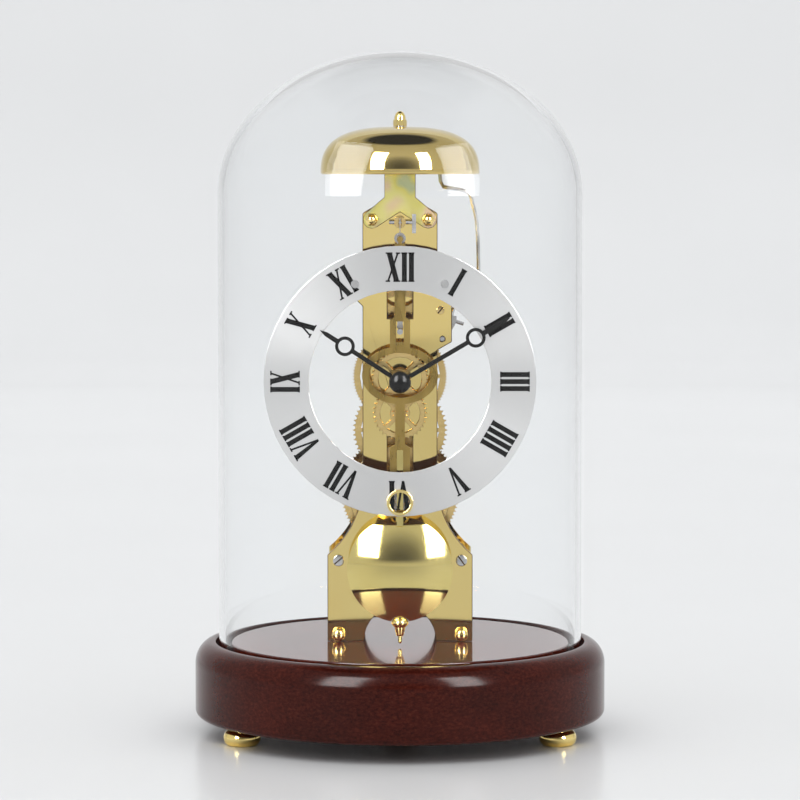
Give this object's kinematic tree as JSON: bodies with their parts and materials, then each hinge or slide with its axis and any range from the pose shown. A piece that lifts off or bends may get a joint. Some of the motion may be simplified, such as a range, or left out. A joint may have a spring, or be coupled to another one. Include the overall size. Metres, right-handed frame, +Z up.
{
  "type": "chiming table clock",
  "caption": "Skeleton table clock under a lift-off glass dome on a round wooden base, with ring dial, swinging pendulum, gear train, bell and striking hammer.",
  "frame": {"origin": "centre of the round base, on the table under the feet", "axes": "+Z up, the dial faces -Y, +X to the right seen from the front"},
  "size_m": [0.17, 0.17, 0.2817],
  "materials": {
    "brass": "polished",
    "dark_brass": "brushed",
    "steel": "bright",
    "zinc_steel": "yellow zinc plate",
    "silvered": "circular brushed",
    "black_paint": "satin",
    "wood": "gloss lacquer",
    "felt": "felt",
    "glass": "clear"
  },
  "bodies": {
    "frame": {"base": "wood", "groove_felt": "felt", "foot_front_left": "brass", "foot_front_right": "brass", "foot_back": "brass", "front_plate": "brass", "back_plate": "brass", "pillar_low_left": "brass", "pillar_low_right": "brass", "pillar_mid_left": "brass", "pillar_mid_right": "brass", "pillar_top_left": "brass", "pillar_top_right": "brass", "nut_low_left": "brass", "nut_low_right": "brass", "screw_mid_left": "steel", "screw_mid_right": "steel", "nut_top_left": "brass", "nut_top_right": "brass", "bell_bracket": "zinc_steel", "bell": "brass", "bell_bolt": "steel", "bell_nut": "brass", "dial": "silvered", "winding_eyelet": "brass", "dial_pillar_left": "steel", "dial_pillar_right": "steel", "suspension_stud": "brass", "suspension_pin": "steel"},
    "dome_glass": {"dome": "glass"},
    "pendulum": {"suspension_spring": "steel", "pendulum_rod": "dark_brass", "bob": "brass", "rating_nut": "brass"},
    "anchor_set": {"anchor": "steel", "anchor_arbor": "steel", "crutch": "steel"},
    "minute_set": {"cannon_pinion": "brass", "minute_hand": "black_paint", "hand_cap": "black_paint"},
    "hour_set": {"hour_wheel": "brass", "hour_hand": "black_paint"},
    "minute_wheel_set": {"minute_wheel": "brass"},
    "escape_set": {"escape_arbor": "steel", "escape_wheel": "brass"},
    "third_set": {"third_arbor": "steel", "third_wheel": "brass"},
    "center_set": {"center_arbor": "steel", "center_wheel": "brass"},
    "intermediate_set": {"intermediate_arbor": "steel", "intermediate_wheel": "brass"},
    "barrel_set": {"barrel": "brass", "barrel_cap": "brass", "mainspring": "steel"},
    "winding_set": {"barrel_arbor": "steel", "ratchet_wheel": "steel"},
    "click_set": {"click": "steel"},
    "hammer": {"hammer_arbor": "steel", "hammer_wire": "steel", "hammer_head": "brass"}
  },
  "joints": [
    {"name": "dome_lift", "type": "slide", "parent": "frame", "child": "dome_glass", "axis": [0, 0, 1], "range_m": [0, 0.26]},
    {"name": "pendulum_swing", "type": "hinge", "parent": "frame", "child": "pendulum", "pos_m": [0, -0.0211, 0.21166], "axis": [0, 1, 0], "range_deg": [-3.5, 3.5]},
    {"name": "anchor_rock", "type": "hinge", "parent": "frame", "child": "anchor_set", "pos_m": [0, 0.004, 0.20486], "axis": [0, 1, 0], "range_deg": [-4.3, 4.3]},
    {"name": "minute_turn", "type": "hinge", "parent": "frame", "child": "minute_set", "pos_m": [0, -0.0315, 0.1473], "axis": [0, 1, 0], "continuous": true},
    {"name": "hour_turn", "type": "hinge", "parent": "frame", "child": "hour_set", "pos_m": [0, -0.03, 0.1473], "axis": [0, 1, 0], "continuous": true},
    {"name": "minute_wheel_turn", "type": "hinge", "parent": "frame", "child": "minute_wheel_set", "pos_m": [0, -0.009, 0.1329], "axis": [0, 1, 0], "continuous": true},
    {"name": "center_turn", "type": "hinge", "parent": "frame", "child": "center_set", "pos_m": [0, 0.006, 0.1473], "axis": [0, 1, 0], "continuous": true},
    {"name": "third_turn", "type": "hinge", "parent": "frame", "child": "third_set", "pos_m": [0, 0.014, 0.16836], "axis": [0, 1, 0], "continuous": true},
    {"name": "escape_turn", "type": "hinge", "parent": "frame", "child": "escape_set", "pos_m": [0, 0.004, 0.18456], "axis": [0, 1, 0], "continuous": true},
    {"name": "intermediate_turn", "type": "hinge", "parent": "frame", "child": "intermediate_set", "pos_m": [0, -0.001, 0.12554], "axis": [0, 1, 0], "continuous": true},
    {"name": "barrel_turn", "type": "hinge", "parent": "frame", "child": "barrel_set", "pos_m": [0, 0.008, 0.098], "axis": [0, 1, 0], "continuous": true},
    {"name": "winding_turn", "type": "hinge", "parent": "frame", "child": "winding_set", "pos_m": [0, 0.008, 0.098], "axis": [0, 1, 0], "continuous": true},
    {"name": "click_pivot", "type": "hinge", "parent": "frame", "child": "click_set", "pos_m": [-0.00718, -0.007, 0.105], "axis": [0, 1, 0], "range_deg": [0, 12], "stiffness_Nm_per_rad": 0.01},
    {"name": "hammer_strike", "type": "hinge", "parent": "frame", "child": "hammer", "pos_m": [0.01744, 0.004, 0.16344], "axis": [0, 1, 0], "range_deg": [-7, 0.7], "stiffness_Nm_per_rad": 0.05}
  ],
  "couplings": [
    {"joint": "anchor_rock", "follows": "pendulum_swing", "ratio": 1.1806},
    {"joint": "hour_turn", "follows": "minute_turn", "ratio": 0.083333},
    {"joint": "minute_wheel_turn", "follows": "minute_turn", "ratio": -0.33333},
    {"joint": "third_turn", "follows": "center_turn", "ratio": -12},
    {"joint": "escape_turn", "follows": "center_turn", "ratio": 150},
    {"joint": "intermediate_turn", "follows": "center_turn", "ratio": -0.13333},
    {"joint": "barrel_turn", "follows": "center_turn", "ratio": 0.016667}
  ]
}
